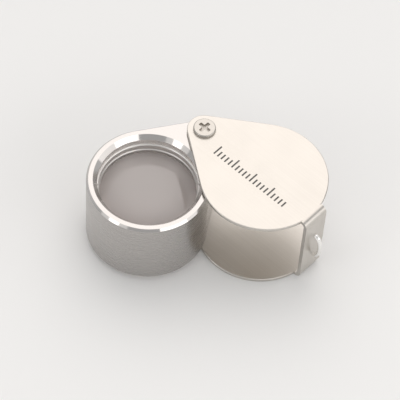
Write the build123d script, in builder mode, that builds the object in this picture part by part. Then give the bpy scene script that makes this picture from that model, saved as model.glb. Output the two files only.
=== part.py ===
from build123d import *
from math import asin, degrees, sqrt
import os

# Folding loupe: a cemented triplet in a round holder that swings out of a folded sheet cover.
#
# Frame: millimetres, +Z up. The pivot axis is Z, and z = 0 is the outer face of the lower
# cover plate, which the loupe lies on. The cover runs along +X. The lens holder is swung a
# quarter turn out of the cover, so it runs along -Y.

# ---------------------------------------------------------------- driving dimensions, mm
ARM = 17.0                   # pivot axis to the cover's disc centre, and to the lens axis

HEIGHT = 20.0                # outside of the lower plate to outside of the upper plate
SHEET = 0.8                  # cover sheet thickness
COVER_RADIUS = 13.5
NOSE_RADIUS = 3.7            # round end of the plates, about the pivot
BRIDGE_WIDTH = 6.2
BEND_RADIUS = 1.6            # outside radius of both folds
SHEET_EDGE = 0.18            # rounding of the plates' edges

HOLDER_GAP = 0.35            # between the holder and each plate, filled by the washers
HOLDER_RADIUS = 13.0
BOSS_RADIUS = 3.65
HOLDER_EDGE = 0.45           # turned chamfer round both rims
MOUTH_RADIUS = 11.6          # bore at the flat rim
FLARE_DEPTH = 0.9            # the polished flare narrows from the mouth to the thread
THREAD_RADIUS = 10.7         # where the retaining rings screw in
THREAD_DEPTH = 4.9
LENS_RADIUS = 10.6
LENS_CLEARANCE = 0.03

RETAINER_DEPTH = 2.3         # holder face to the retaining ring
RETAINER_THICKNESS = 1.35
RETAINER_BORE = 10.4
RETAINER_CHAMFER = 0.15
SPANNER_SLOT_WIDTH = 0.9
SPANNER_SLOT_DEPTH = 0.5
SPACER_THICKNESS = 1.0
SPACER_BORE = 10.2
SPACER_CHAMFER = 0.2

OUTER_CURVE = 26.0           # radius of the triplet's two outside surfaces
CEMENT_CURVE = 16.0          # radius of its two cemented surfaces
CROWN_EDGE = 1.2             # edge thickness of the middle element
LENS_BEVEL = 0.15

SCREW_HEAD_RADIUS = 2.4
SCREW_HEAD_HEIGHT = 0.7
SCREW_HEAD_EDGE = 0.3
SCREW_RADIUS = 1.25
SCREW_LENGTH = 9.0
SCREW_HOLE_RADIUS = 1.35
RECESS_SPAN = 2.8            # cross recess, tip to tip
RECESS_WIDTH = 0.78
RECESS_CORE = 0.68           # radius of the recess's round middle
RECESS_DEPTH = 0.5
RECESS_TAPER = 14

SLEEVE_RADIUS = 1.6
SLEEVE_FOOT_RADIUS = 2.8
SLEEVE_FOOT_THICKNESS = 0.5
SLEEVE_BORE_DEPTH = 11.0
SEAT_CLEARANCE = 0.05
BUSH_RADIUS = 2.4
RUNNING_CLEARANCE = 0.05
WASHER_RADIUS = 3.2
WASHER_BORE = 1.75
SPRING_THICKNESS = 0.2

WIRE_RADIUS = 0.5
LOOP_WIDTH = 6.6             # between the centre lines of the loop's feet
LOOP_REACH = 1.8             # bridge face to the wire's centre line
LOOP_BEND = 1.0              # where the wire leaves the bridge
LOOP_BOW = 4.0               # where it turns along the bridge
PEEN_RADIUS = 0.8

# ---------------------------------------------------------------- worked out from those
MID = HEIGHT / 2
HOLDER_BOTTOM = SHEET + HOLDER_GAP
HOLDER_TOP = HEIGHT - HOLDER_BOTTOM
HOLDER_HALF = HOLDER_TOP - MID
FOLD_START = ARM + sqrt(COVER_RADIUS**2 - (BRIDGE_WIDTH / 2) ** 2)  # where the tabs leave the discs
COVER_LENGTH = FOLD_START + BEND_RADIUS
BRIDGE_INNER = COVER_LENGTH - SHEET

LENS_CENTRE = (0, -ARM)
LENS_AXIS = Axis((0, -ARM, 0), (0, 0, 1))
LENS_SECTION = Plane(origin=(0, -ARM, MID), x_dir=(1, 0, 0), z_dir=(0, -1, 0))
PIVOT_SECTION = Plane.XZ
MIDPLANE = Plane.XY.offset(MID)

RETAINER_TOP = HOLDER_HALF - RETAINER_DEPTH
SPACER_TOP = RETAINER_TOP - RETAINER_THICKNESS
SPACER_BOTTOM = SPACER_TOP - SPACER_THICKNESS


def sag(curve, radius):
    """Height of a spherical surface's crown above its rim at a radius from the axis."""
    return curve - sqrt(curve**2 - radius**2)


OUTER_APEX = SPACER_BOTTOM + sag(OUTER_CURVE, SPACER_BORE)
OUTER_RIM = OUTER_APEX - sag(OUTER_CURVE, LENS_RADIUS)
CEMENT_RIM = CROWN_EDGE / 2
CEMENT_APEX = CEMENT_RIM + sag(CEMENT_CURVE, LENS_RADIUS)


def teardrop(nose_radius, disc_radius):
    """Two circles an ARM apart along +X, joined by their common tangents."""
    tilt = degrees(asin((disc_radius - nose_radius) / ARM))
    with BuildSketch() as outline:
        with BuildLine():
            nose = CenterArc((0, 0), nose_radius, 90 + tilt, 180 - 2 * tilt)
            disc = CenterArc((ARM, 0), disc_radius, -90 - tilt, 180 + 2 * tilt)
            Line(nose @ 1, disc @ 0)
            Line(disc @ 1, nose @ 0)
        make_face()
    return outline.sketch


def runs_across(edge):
    """Whether an edge runs straight across the bridge."""
    return edge.geom_type == GeomType.LINE and abs((edge % 0).Y) > 0.99


def finish(piece, name):
    """Label a piece and write it to its own file."""
    piece.part.label = name
    export_step(piece.part, f"parts/{name}.step")


# ---------------------------------------------------------------- cover
def cover_plate(level):
    """One teardrop plate, cut straight where its fold starts, with the outline's edges rounded."""
    with BuildPart() as plate:
        with BuildSketch(Plane.XY.offset(level)):
            add(teardrop(NOSE_RADIUS, COVER_RADIUS))
            with Locations((FOLD_START, 0)):
                Rectangle(ARM, BRIDGE_WIDTH, align=(Align.MIN, Align.CENTER), mode=Mode.SUBTRACT)
        extrude(amount=SHEET)
        outline = plate.edges().filter_by(lambda edge: edge.length > SHEET and not runs_across(edge))
        fillet(outline, SHEET_EDGE)
    return plate.part


def bridge():
    """The strip that joins the plates, with both folds."""
    with BuildPart() as strip:
        with BuildSketch(Plane.XZ):
            with BuildLine():
                for radius in (BEND_RADIUS, BEND_RADIUS - SHEET):
                    lower_fold = CenterArc((FOLD_START, BEND_RADIUS), radius, -90, 90)
                    upper_fold = CenterArc((FOLD_START, HEIGHT - BEND_RADIUS), radius, 0, 90)
                    Line(lower_fold @ 1, upper_fold @ 0)
                Line((FOLD_START, 0), (FOLD_START, SHEET))
                Line((FOLD_START, HEIGHT - SHEET), (FOLD_START, HEIGHT))
            make_face()
        extrude(amount=BRIDGE_WIDTH / 2, both=True)
    return strip.part


with BuildPart() as cover_shell:
    add(bridge())
    for level in (0, HEIGHT - SHEET):
        add(cover_plate(level))

    # pivot holes: the upper one for the screw, the lower one for the sleeve and its flush foot
    with Locations((0, 0, HEIGHT)):
        Hole(SCREW_HOLE_RADIUS, depth=SHEET)
    with Locations(Location((0, 0, 0), (180, 0, 0))):
        CounterBoreHole(
            SLEEVE_RADIUS + SEAT_CLEARANCE,
            SLEEVE_FOOT_RADIUS + SEAT_CLEARANCE,
            SLEEVE_FOOT_THICKNESS,
            depth=SHEET,
        )

    # holes for the lanyard loop's feet, countersunk inside for their peened ends
    for level in (MID - LOOP_WIDTH / 2, MID + LOOP_WIDTH / 2):
        with Locations(Location((BRIDGE_INNER, 0, level), (0, -90, 0))):
            CounterSinkHole(WIRE_RADIUS, PEEN_RADIUS, depth=SHEET, counter_sink_angle=90)
finish(cover_shell, "cover_shell")

# a bowed wire staple, peened over inside the bridge
with BuildPart() as lanyard_loop:
    with BuildLine() as loop_path:
        FilletPolyline(
            (BRIDGE_INNER, 0, MID - LOOP_WIDTH / 2),
            (COVER_LENGTH + LOOP_REACH / 2, 0, MID - LOOP_WIDTH / 2),
            (COVER_LENGTH + LOOP_REACH, 0, MID - LOOP_WIDTH / 4),
            (COVER_LENGTH + LOOP_REACH, 0, MID + LOOP_WIDTH / 4),
            (COVER_LENGTH + LOOP_REACH / 2, 0, MID + LOOP_WIDTH / 2),
            (BRIDGE_INNER, 0, MID + LOOP_WIDTH / 2),
            radius=[LOOP_BEND, LOOP_BOW, LOOP_BOW, LOOP_BEND],
        )
    with BuildSketch(Plane(origin=loop_path.line @ 0, z_dir=loop_path.line % 0)):
        Circle(WIRE_RADIUS)
    sweep(path=loop_path.line)
    peen = PEEN_RADIUS - WIRE_RADIUS
    for level in (MID - LOOP_WIDTH / 2, MID + LOOP_WIDTH / 2):
        with Locations(Location((BRIDGE_INNER + peen / 2, 0, level), (0, 90, 0))):
            Cone(PEEN_RADIUS, WIRE_RADIUS, peen)
finish(lanyard_loop, "lanyard_loop")

# ---------------------------------------------------------------- pivot
# tubular nut that sets the gap between the plates; its foot is flush with the lower plate
with BuildPart() as pivot_sleeve:
    with BuildSketch():
        Circle(SLEEVE_FOOT_RADIUS)
    extrude(amount=SLEEVE_FOOT_THICKNESS)
    with BuildSketch(Plane.XY.offset(SLEEVE_FOOT_THICKNESS)):
        Circle(SLEEVE_RADIUS)
    extrude(amount=HEIGHT - SHEET - SLEEVE_FOOT_THICKNESS)
    with Locations((0, 0, HEIGHT - SHEET)):
        Hole(SCREW_RADIUS, depth=SLEEVE_BORE_DEPTH)
finish(pivot_sleeve, "pivot_sleeve")

# low head screw with a cross recess
with BuildPart() as pivot_screw:
    with BuildSketch(Plane.XY.offset(HEIGHT)):
        Circle(SCREW_HEAD_RADIUS)
    extrude(amount=SCREW_HEAD_HEIGHT)
    fillet(pivot_screw.edges().group_by(Axis.Z)[-1], SCREW_HEAD_EDGE)
    with BuildSketch(Plane.XY.offset(HEIGHT)):
        Circle(SCREW_RADIUS)
    extrude(amount=-SCREW_LENGTH)
    chamfer(pivot_screw.edges().group_by(Axis.Z)[0], SCREW_RADIUS / 4)
    with BuildSketch(Plane.XY.offset(HEIGHT + SCREW_HEAD_HEIGHT)):
        RectangleRounded(RECESS_SPAN, RECESS_WIDTH, RECESS_WIDTH / 5)
        RectangleRounded(RECESS_WIDTH, RECESS_SPAN, RECESS_WIDTH / 5)
        Circle(RECESS_CORE)
    extrude(amount=-RECESS_DEPTH, taper=RECESS_TAPER, mode=Mode.SUBTRACT)
finish(pivot_screw, "pivot_screw")

# flat washer between the holder's boss and the upper plate
with BuildPart() as friction_washer:
    with BuildSketch(Plane.XY.offset(HOLDER_TOP)):
        Circle(WASHER_RADIUS)
        Circle(WASHER_BORE, mode=Mode.SUBTRACT)
    extrude(amount=HOLDER_GAP)
finish(friction_washer, "friction_washer")

# dished spring washer under the boss, which keeps the swing stiff
with BuildPart() as spring_washer:
    with BuildSketch(PIVOT_SECTION):
        with BuildLine():
            Polyline(
                (WASHER_BORE, HOLDER_BOTTOM),
                (WASHER_BORE, HOLDER_BOTTOM - SPRING_THICKNESS),
                (WASHER_RADIUS, SHEET),
                (WASHER_RADIUS, SHEET + SPRING_THICKNESS),
                close=True,
            )
        make_face()
    revolve(axis=Axis.Z)
finish(spring_washer, "spring_washer")

with BuildPart() as pivot_bush:
    with BuildSketch(Plane.XY.offset(HOLDER_BOTTOM)):
        Circle(BUSH_RADIUS)
        Circle(SLEEVE_RADIUS + RUNNING_CLEARANCE, mode=Mode.SUBTRACT)
    extrude(amount=HOLDER_TOP - HOLDER_BOTTOM)
finish(pivot_bush, "pivot_bush")

# ---------------------------------------------------------------- lens holder
with BuildPart() as lens_holder:
    with BuildSketch(Plane.XY.offset(HOLDER_BOTTOM)):
        add(teardrop(BOSS_RADIUS, HOLDER_RADIUS), rotation=-90)
    extrude(amount=HOLDER_TOP - HOLDER_BOTTOM)
    faces = lens_holder.faces().filter_by(Axis.Z)
    chamfer(faces.edges(), HOLDER_EDGE)
    with Locations((0, 0, HOLDER_TOP)):
        Hole(BUSH_RADIUS)

    # the bore, the same from either end: mouth, polished flare, thread, then the lens seat
    with BuildSketch(LENS_SECTION):
        with BuildLine():
            upper = Polyline(
                (0, HOLDER_HALF),
                (MOUTH_RADIUS, HOLDER_HALF),
                (THREAD_RADIUS, HOLDER_HALF - FLARE_DEPTH),
                (THREAD_RADIUS, HOLDER_HALF - THREAD_DEPTH),
                (LENS_RADIUS + LENS_CLEARANCE, HOLDER_HALF - THREAD_DEPTH),
                (LENS_RADIUS + LENS_CLEARANCE, 0),
            )
            lower = mirror(upper, about=Plane.XZ)
            Line(upper @ 0, lower @ 0)
        make_face()
    revolve(axis=LENS_AXIS, mode=Mode.SUBTRACT)
finish(lens_holder, "lens_holder")


# ---------------------------------------------------------------- what the holder holds
def retaining_ring(name, about):
    """Threaded ring with two spanner slots; about mirrors it to the lower end."""
    with BuildPart() as ring:
        with BuildSketch(LENS_SECTION):
            with BuildLine():
                Polyline(
                    (THREAD_RADIUS, RETAINER_TOP),
                    (THREAD_RADIUS, SPACER_TOP),
                    (RETAINER_BORE, SPACER_TOP),
                    (RETAINER_BORE, RETAINER_TOP - RETAINER_CHAMFER),
                    (RETAINER_BORE + RETAINER_CHAMFER, RETAINER_TOP),
                    close=True,
                )
            make_face()
        revolve(axis=LENS_AXIS)
        with BuildSketch(Plane(origin=(*LENS_CENTRE, MID + RETAINER_TOP))):
            Rectangle(2 * THREAD_RADIUS, SPANNER_SLOT_WIDTH, rotation=45)
        extrude(amount=-SPANNER_SLOT_DEPTH, mode=Mode.SUBTRACT)
        if about:
            mirror(about=about, mode=Mode.REPLACE)
    finish(ring, name)


def spacer_ring(name, about):
    """Plain ring between a retaining ring and the glass."""
    with BuildPart() as ring:
        with BuildSketch(LENS_SECTION):
            with BuildLine():
                Polyline(
                    (LENS_RADIUS, SPACER_TOP),
                    (LENS_RADIUS, SPACER_BOTTOM),
                    (SPACER_BORE, SPACER_BOTTOM),
                    (SPACER_BORE, SPACER_TOP - SPACER_CHAMFER),
                    (SPACER_BORE + SPACER_CHAMFER, SPACER_TOP),
                    close=True,
                )
            make_face()
        revolve(axis=LENS_AXIS)
        if about:
            mirror(about=about, mode=Mode.REPLACE)
    finish(ring, name)


def flint_element(name, about):
    """Outer element of the triplet, hollow on its cemented side."""
    with BuildPart() as element:
        with BuildSketch(LENS_SECTION):
            with BuildLine():
                RadiusArc((LENS_RADIUS, CEMENT_RIM), (0, CEMENT_APEX), -CEMENT_CURVE)
                Line((0, CEMENT_APEX), (0, OUTER_APEX))
                RadiusArc((0, OUTER_APEX), (LENS_RADIUS, OUTER_RIM), OUTER_CURVE)
                Line((LENS_RADIUS, OUTER_RIM), (LENS_RADIUS, CEMENT_RIM))
            make_face()
        revolve(axis=LENS_AXIS)
        rim = element.edges().filter_by(GeomType.CIRCLE).filter_by(
            lambda edge: abs(edge.center().Z - MID - OUTER_RIM) < 0.01
        )
        chamfer(rim, LENS_BEVEL)
        if about:
            mirror(about=about, mode=Mode.REPLACE)
    finish(element, name)


for side, about in (("upper", None), ("lower", MIDPLANE)):
    retaining_ring(f"{side}_retaining_ring", about)
    spacer_ring(f"{side}_spacer_ring", about)
    flint_element(f"{side}_flint_lens", about)

with BuildPart() as crown_lens:
    with BuildSketch(LENS_SECTION):
        with BuildLine():
            RadiusArc((0, CEMENT_APEX), (LENS_RADIUS, CEMENT_RIM), CEMENT_CURVE)
            Line((LENS_RADIUS, CEMENT_RIM), (LENS_RADIUS, -CEMENT_RIM))
            RadiusArc((LENS_RADIUS, -CEMENT_RIM), (0, -CEMENT_APEX), CEMENT_CURVE)
            Line((0, -CEMENT_APEX), (0, CEMENT_APEX))
        make_face()
    revolve(axis=LENS_AXIS)
finish(crown_lens, "crown_lens")
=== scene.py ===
"""Folding viewing loupe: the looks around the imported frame. Metres, row frame, +Z up."""
import math

import bmesh
import bpy
from mathutils import Matrix, Vector


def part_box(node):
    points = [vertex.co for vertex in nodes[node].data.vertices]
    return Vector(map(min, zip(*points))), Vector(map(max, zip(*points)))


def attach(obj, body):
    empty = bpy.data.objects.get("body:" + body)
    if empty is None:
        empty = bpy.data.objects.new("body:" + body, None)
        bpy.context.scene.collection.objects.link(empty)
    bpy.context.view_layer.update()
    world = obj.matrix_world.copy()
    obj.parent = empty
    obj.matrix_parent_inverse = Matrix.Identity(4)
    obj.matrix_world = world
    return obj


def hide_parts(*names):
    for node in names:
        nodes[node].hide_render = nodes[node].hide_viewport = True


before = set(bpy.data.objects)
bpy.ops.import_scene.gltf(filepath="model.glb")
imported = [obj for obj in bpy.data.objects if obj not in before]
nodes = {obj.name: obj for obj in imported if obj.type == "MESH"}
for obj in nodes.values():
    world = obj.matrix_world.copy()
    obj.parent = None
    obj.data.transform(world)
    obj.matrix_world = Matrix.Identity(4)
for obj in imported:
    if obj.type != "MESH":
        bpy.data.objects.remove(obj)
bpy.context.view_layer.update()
MM = 0.001

# ---------------------------------------------------------------- sizes read from the frame
holder_low, holder_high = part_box("lens_holder")
cover_low, cover_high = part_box("cover_shell")
screw_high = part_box("pivot_screw")[1]
holder_radius = (holder_high.x - holder_low.x) / 2
LENS_X, LENS_Y = 0.0, holder_low.y + holder_radius
mid_z = (cover_low.z + cover_high.z) / 2

# ---------------------------------------------------------------- camera: angles in degrees, lens in mm
VIEW_AZIMUTH, VIEW_ELEVATION = 39.4, 55.6
VIEW_DISTANCE = 0.450
VIEW_ROLL = 4.5
LOOK_AT = Vector((0.0117, -0.0139, 0.020))
LENS_LENGTH, SENSOR = 196.4, 36.0
CLIP_RANGE = 0.01, 10.0


def direction(azimuth, elevation):
    """Unit vector from the object towards a viewer at that azimuth and elevation, in degrees."""
    a, e = math.radians(azimuth), math.radians(elevation)
    return Vector((math.sin(a) * math.cos(e), -math.cos(a) * math.cos(e), math.sin(e)))


def make_camera():
    back = direction(VIEW_AZIMUTH, VIEW_ELEVATION)
    data = bpy.data.cameras.new("camera")
    data.lens = LENS_LENGTH
    data.sensor_width = SENSOR
    data.clip_start, data.clip_end = CLIP_RANGE
    camera = bpy.data.objects.new("camera", data)
    camera.location = LOOK_AT + back * VIEW_DISTANCE
    roll = Matrix.Rotation(math.radians(VIEW_ROLL), 3, back)
    camera.rotation_mode = "QUATERNION"
    camera.rotation_quaternion = (roll @ (-back).to_track_quat("-Z", "Y").to_matrix()).to_quaternion()
    bpy.context.scene.collection.objects.link(camera)
    bpy.context.scene.camera = camera


# ---------------------------------------------------------------- node graph helpers
QUARTER_TURN = 0.25          # as the shader counts turns


def new_material(name, colour, metallic=0.0, roughness=0.5, **sockets):
    """A Principled material. Further sockets are named with underscores for spaces."""
    made = bpy.data.materials.new(name)
    made.use_nodes = True
    shader = made.node_tree.nodes["Principled BSDF"]
    shader.inputs["Base Color"].default_value = (*colour, 1)
    shader.inputs["Metallic"].default_value = metallic
    shader.inputs["Roughness"].default_value = roughness
    for socket, value in sockets.items():
        shader.inputs[socket.replace("_", " ")].default_value = value
    return made


class Graph:
    """Short calls for the nodes that the materials share."""

    def __init__(self, material):
        self.tree = material.node_tree
        self.shader = self.tree.nodes["Principled BSDF"]

    def put(self, value, socket):
        """Feed a socket from another socket, or set it to a number."""
        if isinstance(value, bpy.types.NodeSocket):
            self.tree.links.new(value, socket)
        else:
            socket.default_value = value

    def math(self, operation, first, second=0.0, third=0.0):
        node = self.tree.nodes.new("ShaderNodeMath")
        node.operation = operation
        for socket, value in zip(node.inputs, (first, second, third)):
            self.put(value, socket)
        return node.outputs[0]

    def plus(self, first, second):
        return self.math("ADD", first, second)

    def minus(self, first, second):
        return self.math("SUBTRACT", first, second)

    def times(self, first, second):
        return self.math("MULTIPLY", first, second)

    def position(self):
        """x, y and z in the row frame, which the piece carries with it as it moves."""
        place = self.tree.nodes.new("ShaderNodeTexCoord")
        split = self.tree.nodes.new("ShaderNodeSeparateXYZ")
        self.tree.links.new(place.outputs["Object"], split.inputs[0])
        return split.outputs

    def vector(self, x, y, z=0.0):
        node = self.tree.nodes.new("ShaderNodeCombineXYZ")
        for socket, value in zip(node.inputs, (x, y, z)):
            self.put(value, socket)
        return node.outputs[0]

    def radius(self, centre_x, centre_y):
        """Distance from a vertical axis."""
        x, y, _ = self.position()
        dx, dy = self.minus(x, centre_x), self.minus(y, centre_y)
        return self.math("SQRT", self.plus(self.times(dx, dx), self.times(dy, dy)))

    def level(self):
        """0 on a wall, 1 on a level face, either way up."""
        place = self.tree.nodes.new("ShaderNodeNewGeometry")
        split = self.tree.nodes.new("ShaderNodeSeparateXYZ")
        self.tree.links.new(place.outputs["Normal"], split.inputs[0])
        return self.math("ABSOLUTE", split.outputs["Z"])

    def grain(self, x, y, z, amount):
        """Stretch reflections across a grain whose direction is given in the row frame."""
        turn = self.tree.nodes.new("ShaderNodeVectorTransform")
        turn.vector_type = "VECTOR"
        turn.convert_from = "OBJECT"
        turn.convert_to = "WORLD"
        self.tree.links.new(self.vector(x, y, z), turn.inputs[0])
        self.tree.links.new(turn.outputs[0], self.shader.inputs["Tangent"])
        self.shader.inputs["Anisotropic"].default_value = amount
        self.shader.inputs["Anisotropic Rotation"].default_value = QUARTER_TURN

    def noise(self, vector, scale=1.0, detail=2.0, roughness=0.5):
        node = self.tree.nodes.new("ShaderNodeTexNoise")
        self.tree.links.new(vector, node.inputs["Vector"])
        node.inputs["Scale"].default_value = scale
        node.inputs["Detail"].default_value = detail
        node.inputs["Roughness"].default_value = roughness
        return node.outputs["Fac"]

    def spread(self, value, low, high, from_low=0.0, from_high=1.0):
        """Map a value's range to low..high, clamped."""
        node = self.tree.nodes.new("ShaderNodeMapRange")
        self.tree.links.new(value, node.inputs["Value"])
        node.inputs["From Min"].default_value = from_low
        node.inputs["From Max"].default_value = from_high
        node.inputs["To Min"].default_value = low
        node.inputs["To Max"].default_value = high
        return node.outputs["Result"]

    def blend(self, factor, first, second):
        """Colour between first and second."""
        node = self.tree.nodes.new("ShaderNodeMix")
        node.data_type = "RGBA"
        self.put(factor, node.inputs["Factor"])
        node.inputs["A"].default_value = (*first, 1)
        if isinstance(second, bpy.types.NodeSocket):
            self.tree.links.new(second, node.inputs["B"])
        else:
            node.inputs["B"].default_value = (*second, 1)
        return next(o for o in node.outputs if o.type == "RGBA")

    def bump(self, height, distance, strength=1.0):
        node = self.tree.nodes.new("ShaderNodeBump")
        node.inputs["Strength"].default_value = strength
        node.inputs["Distance"].default_value = distance
        self.tree.links.new(height, node.inputs["Height"])
        self.tree.links.new(node.outputs["Normal"], self.shader.inputs["Normal"])

    def colour(self, value):
        self.tree.links.new(value, self.shader.inputs["Base Color"])

    def roughness(self, value):
        self.tree.links.new(value, self.shader.inputs["Roughness"])


# ---------------------------------------------------------------- materials
# How fine each pattern is, as a noise scale per metre.
STREAKS_ALONG, STREAKS_ACROSS = 30, 3500
SHEET_SMUDGES = 140
SHEET_WAVES = 90
HANDLING_MARKS = 170
TURNED_LINES = 20000
TURNED_BANDS = 2600
SCREW_LINES = 15000
WIRE_MARKS = 2500
FINE_GRAIN = 3000

THREAD_PITCH = 0.5 * MM
THREAD_RELIEF = 20.0         # the thread's height against the turned lines'
HOLDER_WALL = 1.0 * MM       # a wall further in than this from the holder's outside is in its bore
RECESS_FLOOR = 0.5 * MM      # both below the top of the screw
RECESS_LIP = 0.05 * MM


def turned_lines(graph, radius, z, per_metre=TURNED_LINES):
    """Noise that draws rings on flat faces and lines round walls."""
    return graph.noise(graph.vector(graph.times(radius, per_metre), graph.times(z, per_metre)))


def handling(graph, place):
    """Roughness that handling adds in faint patches."""
    return graph.spread(graph.noise(place, HANDLING_MARKS, detail=4.0), 0.0, 0.04, 0.45, 0.75)


def brushed_steel():
    """Satin sheet, brushed along its length: along X on the plates and along Z down the bridge."""
    light, dark = (0.62, 0.59, 0.55), (0.595, 0.565, 0.525)
    made = new_material("brushed_steel", light, 1.0, 0.30)
    graph = Graph(made)
    x, y, z = graph.position()
    place = graph.vector(x, y, z)
    along = graph.times(graph.plus(x, z), STREAKS_ALONG)
    streaks = graph.noise(graph.vector(along, graph.times(y, STREAKS_ACROSS)), detail=1.0)
    smudges = graph.noise(place, SHEET_SMUDGES, detail=3.0)
    brushing = graph.spread(streaks, 0.29, 0.325, 0.35, 0.65)
    graph.roughness(graph.plus(brushing, graph.spread(smudges, -0.02, 0.04, 0.3, 0.7)))
    graph.colour(graph.blend(graph.spread(streaks, 0.0, 1.0, 0.35, 0.65), dark, light))
    graph.bump(graph.noise(place, SHEET_WAVES, detail=1.0), 0.03 * MM, 0.3)
    graph.grain(1.0, 0.0, 0.0, 0.45)
    return made


def turned_metal(name, light, dark, rough_low, rough_high, axis):
    """Metal finished on a lathe: fine rings on its flat faces, fine lines round its walls."""
    made = new_material(name, light, 1.0, rough_low)
    graph = Graph(made)
    x, y, z = graph.position()
    lines = turned_lines(graph, graph.radius(*axis), z)
    finish = graph.spread(lines, rough_low, rough_high, 0.3, 0.7)
    graph.roughness(graph.plus(finish, handling(graph, graph.vector(x, y, z))))
    graph.colour(graph.blend(graph.spread(lines, 0.0, 1.0, 0.3, 0.7), dark, light))
    graph.bump(lines, 0.003 * MM, 0.4)
    return made


def polished_alloy():
    """The holder: mirror bright on rims and flares, finely turned round its wall, with a thread cut in its
    bore. Its wall's darker colour is painted shade; its bore's much lighter colour is painted light.
    """
    bright, wall_painted_shade, bore_painted_light = (0.575, 0.555, 0.54), (0.47, 0.45, 0.435), (0.86, 0.84, 0.82)
    made = new_material("polished_alloy", bright, 1.0, 0.1)
    graph = Graph(made)
    x, y, z = graph.position()
    radius = graph.radius(LENS_X, LENS_Y)
    lines = turned_lines(graph, radius, z)
    bands = graph.noise(graph.vector(0.0, graph.times(z, TURNED_BANDS)), detail=3.0)
    wall = graph.spread(graph.level(), 1.0, 0.0, 0.05, 0.3)
    bore = graph.times(wall, graph.math("LESS_THAN", radius, holder_radius - HOLDER_WALL))

    polish = graph.plus(graph.spread(lines, 0.07, 0.13, 0.3, 0.7), handling(graph, graph.vector(x, y, z)))
    graph.roughness(graph.plus(polish, graph.times(wall, graph.spread(bands, 0.10, 0.24, 0.3, 0.7))))

    # Painted shade: walls are coloured darker than the level faces, in random turned bands.
    outside = graph.blend(graph.times(wall, graph.spread(bands, 0.75, 1.0, 0.3, 0.7)), bright, wall_painted_shade)
    # Painted light: the bore is coloured much lighter than the rest of the holder.
    graph.colour(graph.blend(graph.minus(1.0, bore), bore_painted_light, outside))

    thread = graph.math("SINE", graph.times(z, 2 * math.pi / THREAD_PITCH))
    graph.bump(graph.plus(graph.times(graph.times(thread, bore), THREAD_RELIEF), lines), 0.003 * MM, 0.4)
    graph.grain(graph.minus(LENS_Y, y), graph.minus(x, LENS_X), 0.0, 0.6)
    return made


def screw_metal():
    """Nickel plate, polished on top and duller down in the cross recess, which is coloured lighter as
    painted light.
    """
    plate, recess = (0.51, 0.485, 0.45), (0.63, 0.595, 0.55)
    made = new_material("screw_nickel", plate, 1.0, 0.2)
    graph = Graph(made)
    x, y, z = graph.position()
    lines = turned_lines(graph, graph.radius(0.0, 0.0), z, SCREW_LINES)
    top = graph.spread(z, 0.0, 1.0, screw_high.z - RECESS_FLOOR, screw_high.z - RECESS_LIP)
    # Painted light: the cross recess is coloured lighter than the head's top.
    graph.colour(graph.blend(top, recess, plate))
    graph.roughness(graph.plus(graph.spread(lines, 0.16, 0.30, 0.3, 0.7), graph.spread(top, 0.35, 0.0)))
    graph.bump(lines, 0.004 * MM, 0.4)
    return made


def drawn_wire():
    """Bright wire with fine marks from its drawing and bending."""
    made = new_material("drawn_wire", (0.94, 0.93, 0.91), 1.0, 0.15)
    graph = Graph(made)
    marks = graph.noise(graph.vector(*graph.position()), WIRE_MARKS, detail=3.0)
    graph.roughness(graph.spread(marks, 0.10, 0.28, 0.35, 0.7))
    graph.bump(marks, 0.006 * MM, 0.3)
    return made


def fine_grained(name, colour, rough):
    """An even, non-metal surface with a fine grain: nylon, ink or ground glass."""
    made = new_material(name, colour, 0.0, rough)
    graph = Graph(made)
    grain = graph.noise(graph.vector(*graph.position()), FINE_GRAIN, detail=3.0)
    graph.roughness(graph.spread(grain, rough - 0.08, rough + 0.1, 0.3, 0.7))
    graph.bump(grain, 0.005 * MM, 0.4)
    return made


def optical_glass(name, colour, clarity, refraction):
    """Glass that lets the lamps light what is behind it; clarity is under 1 where it is a little hazy."""
    made = new_material(name, colour, 0.0, 0.0, Transmission_Weight=clarity, IOR=refraction)
    tree = made.node_tree
    rays = tree.nodes.new("ShaderNodeLightPath")
    clear = tree.nodes.new("ShaderNodeBsdfTransparent")
    clear.inputs["Color"].default_value = (*colour, 1)
    mix = tree.nodes.new("ShaderNodeMixShader")
    tree.links.new(rays.outputs["Is Shadow Ray"], mix.inputs["Fac"])
    tree.links.new(tree.nodes["Principled BSDF"].outputs["BSDF"], mix.inputs[1])
    tree.links.new(clear.outputs["BSDF"], mix.inputs[2])
    tree.links.new(mix.outputs["Shader"], tree.nodes["Material Output"].inputs["Surface"])
    return made


def paint(material, *names):
    for name in names:
        for slot in nodes[name].material_slots:
            slot.material = material


# ---------------------------------------------------------------- the triplet
OUTER_CURVE = 26.0 * MM
CEMENT_CURVE = 16.0 * MM
BEVEL = 0.15 * MM
ROUND_STEPS = 192
ARC_STEPS = 40
SHARP_ANGLE = 25             # degrees


def sphere_line(apex, curve, radius, sign):
    """(r, z) points from the axis out, along a sphere that bulges up (sign 1) or down (sign -1)."""
    points = []
    for i in range(ARC_STEPS + 1):
        r = radius * i / ARC_STEPS
        points.append((r, apex - sign * (curve - math.sqrt(curve**2 - r**2))))
    return points


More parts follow.
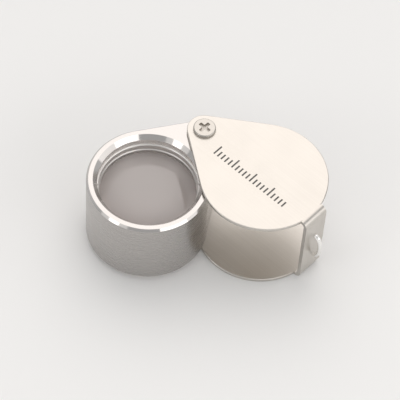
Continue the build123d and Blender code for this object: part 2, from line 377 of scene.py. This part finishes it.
def lathe(name, lines, materials):
    """A closed mesh turned about the lens axis. Its lines of (r, z) points join up; each has a material."""
    mesh = bmesh.new()
    axis = Vector((LENS_X, LENS_Y, 0))
    rings = {}

    def ring(point):
        """The vertices at that point: one on the axis, or else a circle. Points that meet share them."""
        r, z = point
        key = (round(r / MM, 5), round(z / MM, 5))
        if key not in rings:
            rings[key] = []
            for i in range(ROUND_STEPS if r else 1):
                turn = 2 * math.pi * i / ROUND_STEPS
                rings[key].append(mesh.verts.new(axis + Vector((r * math.cos(turn), r * math.sin(turn), z))))
        return rings[key]

    for index, line in enumerate(lines):
        for start, end in zip(line, line[1:]):
            a, b = ring(start), ring(end)
            for i in range(ROUND_STEPS):
                j = (i + 1) % ROUND_STEPS
                corners = []
                for vertex in (a[i % len(a)], a[j % len(a)], b[j % len(b)], b[i % len(b)]):
                    if vertex not in corners:
                        corners.append(vertex)
                face = mesh.faces.new(corners)
                face.material_index = index
                face.smooth = True
    bmesh.ops.recalc_face_normals(mesh, faces=mesh.faces)
    data = bpy.data.meshes.new(name)
    mesh.to_mesh(data)
    mesh.free()
    for material in materials:
        data.materials.append(material)
    data.set_sharp_from_angle(angle=math.radians(SHARP_ANGLE))
    made = bpy.data.objects.new(name, data)
    bpy.context.scene.collection.objects.link(made)
    return made


def make_triplet():
    """Two flint lenses cemented to a thick crown lens. The cemented faces don't bend light."""
    glass = optical_glass("lens_glass", (0.97, 0.895, 0.87), 0.67, 1.70)
    cement = optical_glass("lens_cement", (0.97, 0.96, 0.95), 1.0, 1.0)
    ground = fine_grained("ground_edge", (0.75, 0.72, 0.70), 0.7)

    low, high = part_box("upper_flint_lens")
    radius = (high.x - low.x) / 2
    cement_rim = low.z - mid_z
    outer_apex = high.z - mid_z
    cement_apex = cement_rim + CEMENT_CURVE - math.sqrt(CEMENT_CURVE**2 - radius**2)

    for side, name in ((1, "upper_flint"), (-1, "lower_flint")):
        dome = sphere_line(outer_apex, OUTER_CURVE, radius - BEVEL, 1)
        hollow = sphere_line(cement_apex, CEMENT_CURVE, radius, 1)
        rim_z = outer_apex - OUTER_CURVE + math.sqrt(OUTER_CURVE**2 - radius**2) - BEVEL
        edge = [dome[-1], (radius, rim_z), hollow[-1]]
        lines = [[(r, mid_z + side * z) for r, z in line] for line in (dome, edge, hollow)]
        flint = lathe(name, lines, (glass, ground, cement))
        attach(flint, "holder")
        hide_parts(name + "_lens")

    top = sphere_line(mid_z + cement_apex, CEMENT_CURVE, radius, 1)
    bottom = sphere_line(mid_z - cement_apex, CEMENT_CURVE, radius, -1)
    crown = lathe("crown", (top, [top[-1], bottom[-1]], bottom), (cement, ground, cement))
    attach(crown, "holder")
    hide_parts("crown_lens")


# ---------------------------------------------------------------- the printed scale on the cover, mm
MARK_CENTRE = (15.2, -2.0)
MARK_COUNT = 20
LONG_EVERY = 5
MARK_PITCH = 1.0
MARK_WIDTH = 0.36
MARK_LONG, MARK_SHORT = 2.5, 1.5
INK_THICKNESS = 0.012


def make_scale():
    """A plain millimetre scale: one row of ticks, every fifth one long, half sunk in the plate."""
    ink = fine_grained("marking_ink", (0.10, 0.095, 0.09), 0.55)
    mesh = bmesh.new()
    for i in range(MARK_COUNT):
        length = MARK_SHORT if i % LONG_EVERY else MARK_LONG
        x = MARK_CENTRE[0] + (i - (MARK_COUNT - 1) / 2) * MARK_PITCH
        y = MARK_CENTRE[1] - MARK_LONG / 2 + length / 2
        size = Vector((MARK_WIDTH, length, 2 * INK_THICKNESS)) * MM
        place = Vector((x * MM, y * MM, cover_high.z))
        bmesh.ops.create_cube(mesh, size=1.0, matrix=Matrix.Translation(place) @ Matrix.Diagonal((*size, 1)))
    data = bpy.data.meshes.new("scale_marks")
    mesh.to_mesh(data)
    mesh.free()
    data.materials.append(ink)
    marks = bpy.data.objects.new("scale_marks", data)
    bpy.context.scene.collection.objects.link(marks)
    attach(marks, "cover")


# ---------------------------------------------------------------- light and floor
SKY_STOPS = ((0.0, 0.78), (0.2, 0.72), (0.42, 0.55), (1.0, 0.62))    # height up the dome, and its grey
KEY_COLOUR = (1.0, 0.945, 0.905)
KEY_STRENGTH = 1.15
KEY_INNER, KEY_OUTER = 16.0, 46.0                                    # degrees from the glow's middle
FLOOR_SIZE = 4.0
FLOOR_DROP = 0.02 * MM


def make_sky():
    """A softly graded studio dome, with one broad glow that the flat tops mirror towards the camera."""
    world = bpy.data.worlds.new("studio")
    bpy.context.scene.world = world
    world.use_nodes = True
    tree = world.node_tree
    background = tree.nodes["Background"]
    place = tree.nodes.new("ShaderNodeTexCoord")
    split = tree.nodes.new("ShaderNodeSeparateXYZ")
    ramp = tree.nodes.new("ShaderNodeValToRGB")
    tree.links.new(place.outputs["Generated"], split.inputs[0])
    tree.links.new(split.outputs["Z"], ramp.inputs[0])
    elements = ramp.color_ramp.elements
    while len(elements) < len(SKY_STOPS):
        elements.new(0.5)
    for element, (position, grey) in zip(elements, SKY_STOPS):
        element.position = position
        element.color = (grey, grey, grey, 1)

    aim = tree.nodes.new("ShaderNodeVectorMath")
    aim.operation = "DOT_PRODUCT"
    aim.inputs[1].default_value = direction(VIEW_AZIMUTH + 180, VIEW_ELEVATION)
    tree.links.new(place.outputs["Generated"], aim.inputs[0])
    glow = tree.nodes.new("ShaderNodeMapRange")
    glow.interpolation_type = "SMOOTHSTEP"
    glow.inputs["From Min"].default_value = math.cos(math.radians(KEY_OUTER))
    glow.inputs["From Max"].default_value = math.cos(math.radians(KEY_INNER))
    glow.inputs["To Max"].default_value = KEY_STRENGTH
    tree.links.new(aim.outputs["Value"], glow.inputs["Value"])
    tint = tree.nodes.new("ShaderNodeVectorMath")
    tint.operation = "SCALE"
    tint.inputs[0].default_value = KEY_COLOUR
    tree.links.new(glow.outputs["Result"], tint.inputs["Scale"])
    total = tree.nodes.new("ShaderNodeVectorMath")
    total.operation = "ADD"
    tree.links.new(ramp.outputs["Color"], total.inputs[0])
    tree.links.new(tint.outputs["Vector"], total.inputs[1])
    tree.links.new(total.outputs["Vector"], background.inputs["Color"])


def area_light(name, azimuth, elevation, distance, size, radiance, colour):
    """A soft rectangle that faces the object. Radiance is how bright it looks in a mirror."""
    data = bpy.data.lights.new(name, "AREA")
    data.shape = "RECTANGLE"
    data.size, data.size_y = size
    data.energy = radiance * math.pi * size[0] * size[1]
    data.color = colour
    lamp = bpy.data.objects.new(name, data)
    away = direction(azimuth, elevation)
    lamp.location = away * distance
    lamp.rotation_mode = "QUATERNION"
    lamp.rotation_quaternion = away.to_track_quat("Z", "Y")
    bpy.context.scene.collection.objects.link(lamp)


def make_floor():
    bpy.ops.mesh.primitive_plane_add(size=FLOOR_SIZE, location=(0, 0, -FLOOR_DROP))
    floor = bpy.context.object
    floor.name = "floor"
    floor.data.materials.append(new_material("pale_paper", (0.86, 0.86, 0.855), 0.0, 0.9))


def make_studio():
    """The dome, and the panels that draw the bright patches round the holder's flare."""
    make_sky()
    make_floor()
    area_light("left_softbox", VIEW_AZIMUTH - 49, 30, 0.9, (0.22, 0.26), 1.8, (1.0, 0.985, 0.97))
    area_light("left_panel", VIEW_AZIMUTH - 50, 30, 1.0, (0.70, 0.30), 0.45, (1.0, 0.98, 0.96))
    area_light("right_softbox", VIEW_AZIMUTH + 45, 31, 0.9, (0.60, 0.26), 1.9, (1.0, 0.985, 0.97))
    area_light("side_panel", VIEW_AZIMUTH + 83, 22, 1.0, (0.66, 0.56), 0.8, (1.0, 0.97, 0.945))


# ---------------------------------------------------------------- the scene
def paint_frame():
    """Give each CAD piece that is carried over its material."""
    lens_axis, pivot_axis = (LENS_X, LENS_Y), (0.0, 0.0)
    sleeve = turned_metal("sleeve_steel", (0.74, 0.73, 0.71), (0.62, 0.61, 0.6), 0.22, 0.34, pivot_axis)
    spring = turned_metal("spring_steel", (0.52, 0.51, 0.50), (0.42, 0.41, 0.4), 0.25, 0.4, pivot_axis)
    brass = turned_metal("brass", (0.78, 0.60, 0.31), (0.66, 0.5, 0.25), 0.2, 0.35, pivot_axis)
    retaining = turned_metal("satin_ring", (0.88, 0.86, 0.84), (0.74, 0.72, 0.70), 0.34, 0.48, lens_axis)
    spacer = turned_metal("dark_ring", (0.76, 0.74, 0.72), (0.62, 0.60, 0.58), 0.38, 0.5, lens_axis)
    paint(brushed_steel(), "cover_shell")
    paint(polished_alloy(), "lens_holder")
    paint(drawn_wire(), "lanyard_loop")
    paint(screw_metal(), "pivot_screw")
    paint(sleeve, "pivot_sleeve")
    paint(fine_grained("nylon", (0.85, 0.84, 0.80), 0.5), "friction_washer")
    paint(spring, "spring_washer")
    paint(brass, "pivot_bush")
    paint(retaining, "upper_retaining_ring", "lower_retaining_ring")
    paint(spacer, "upper_spacer_ring", "lower_spacer_ring")


make_camera()
make_studio()
make_triplet()
make_scale()
paint_frame()
bpy.context.scene.view_settings.view_transform = "Standard"
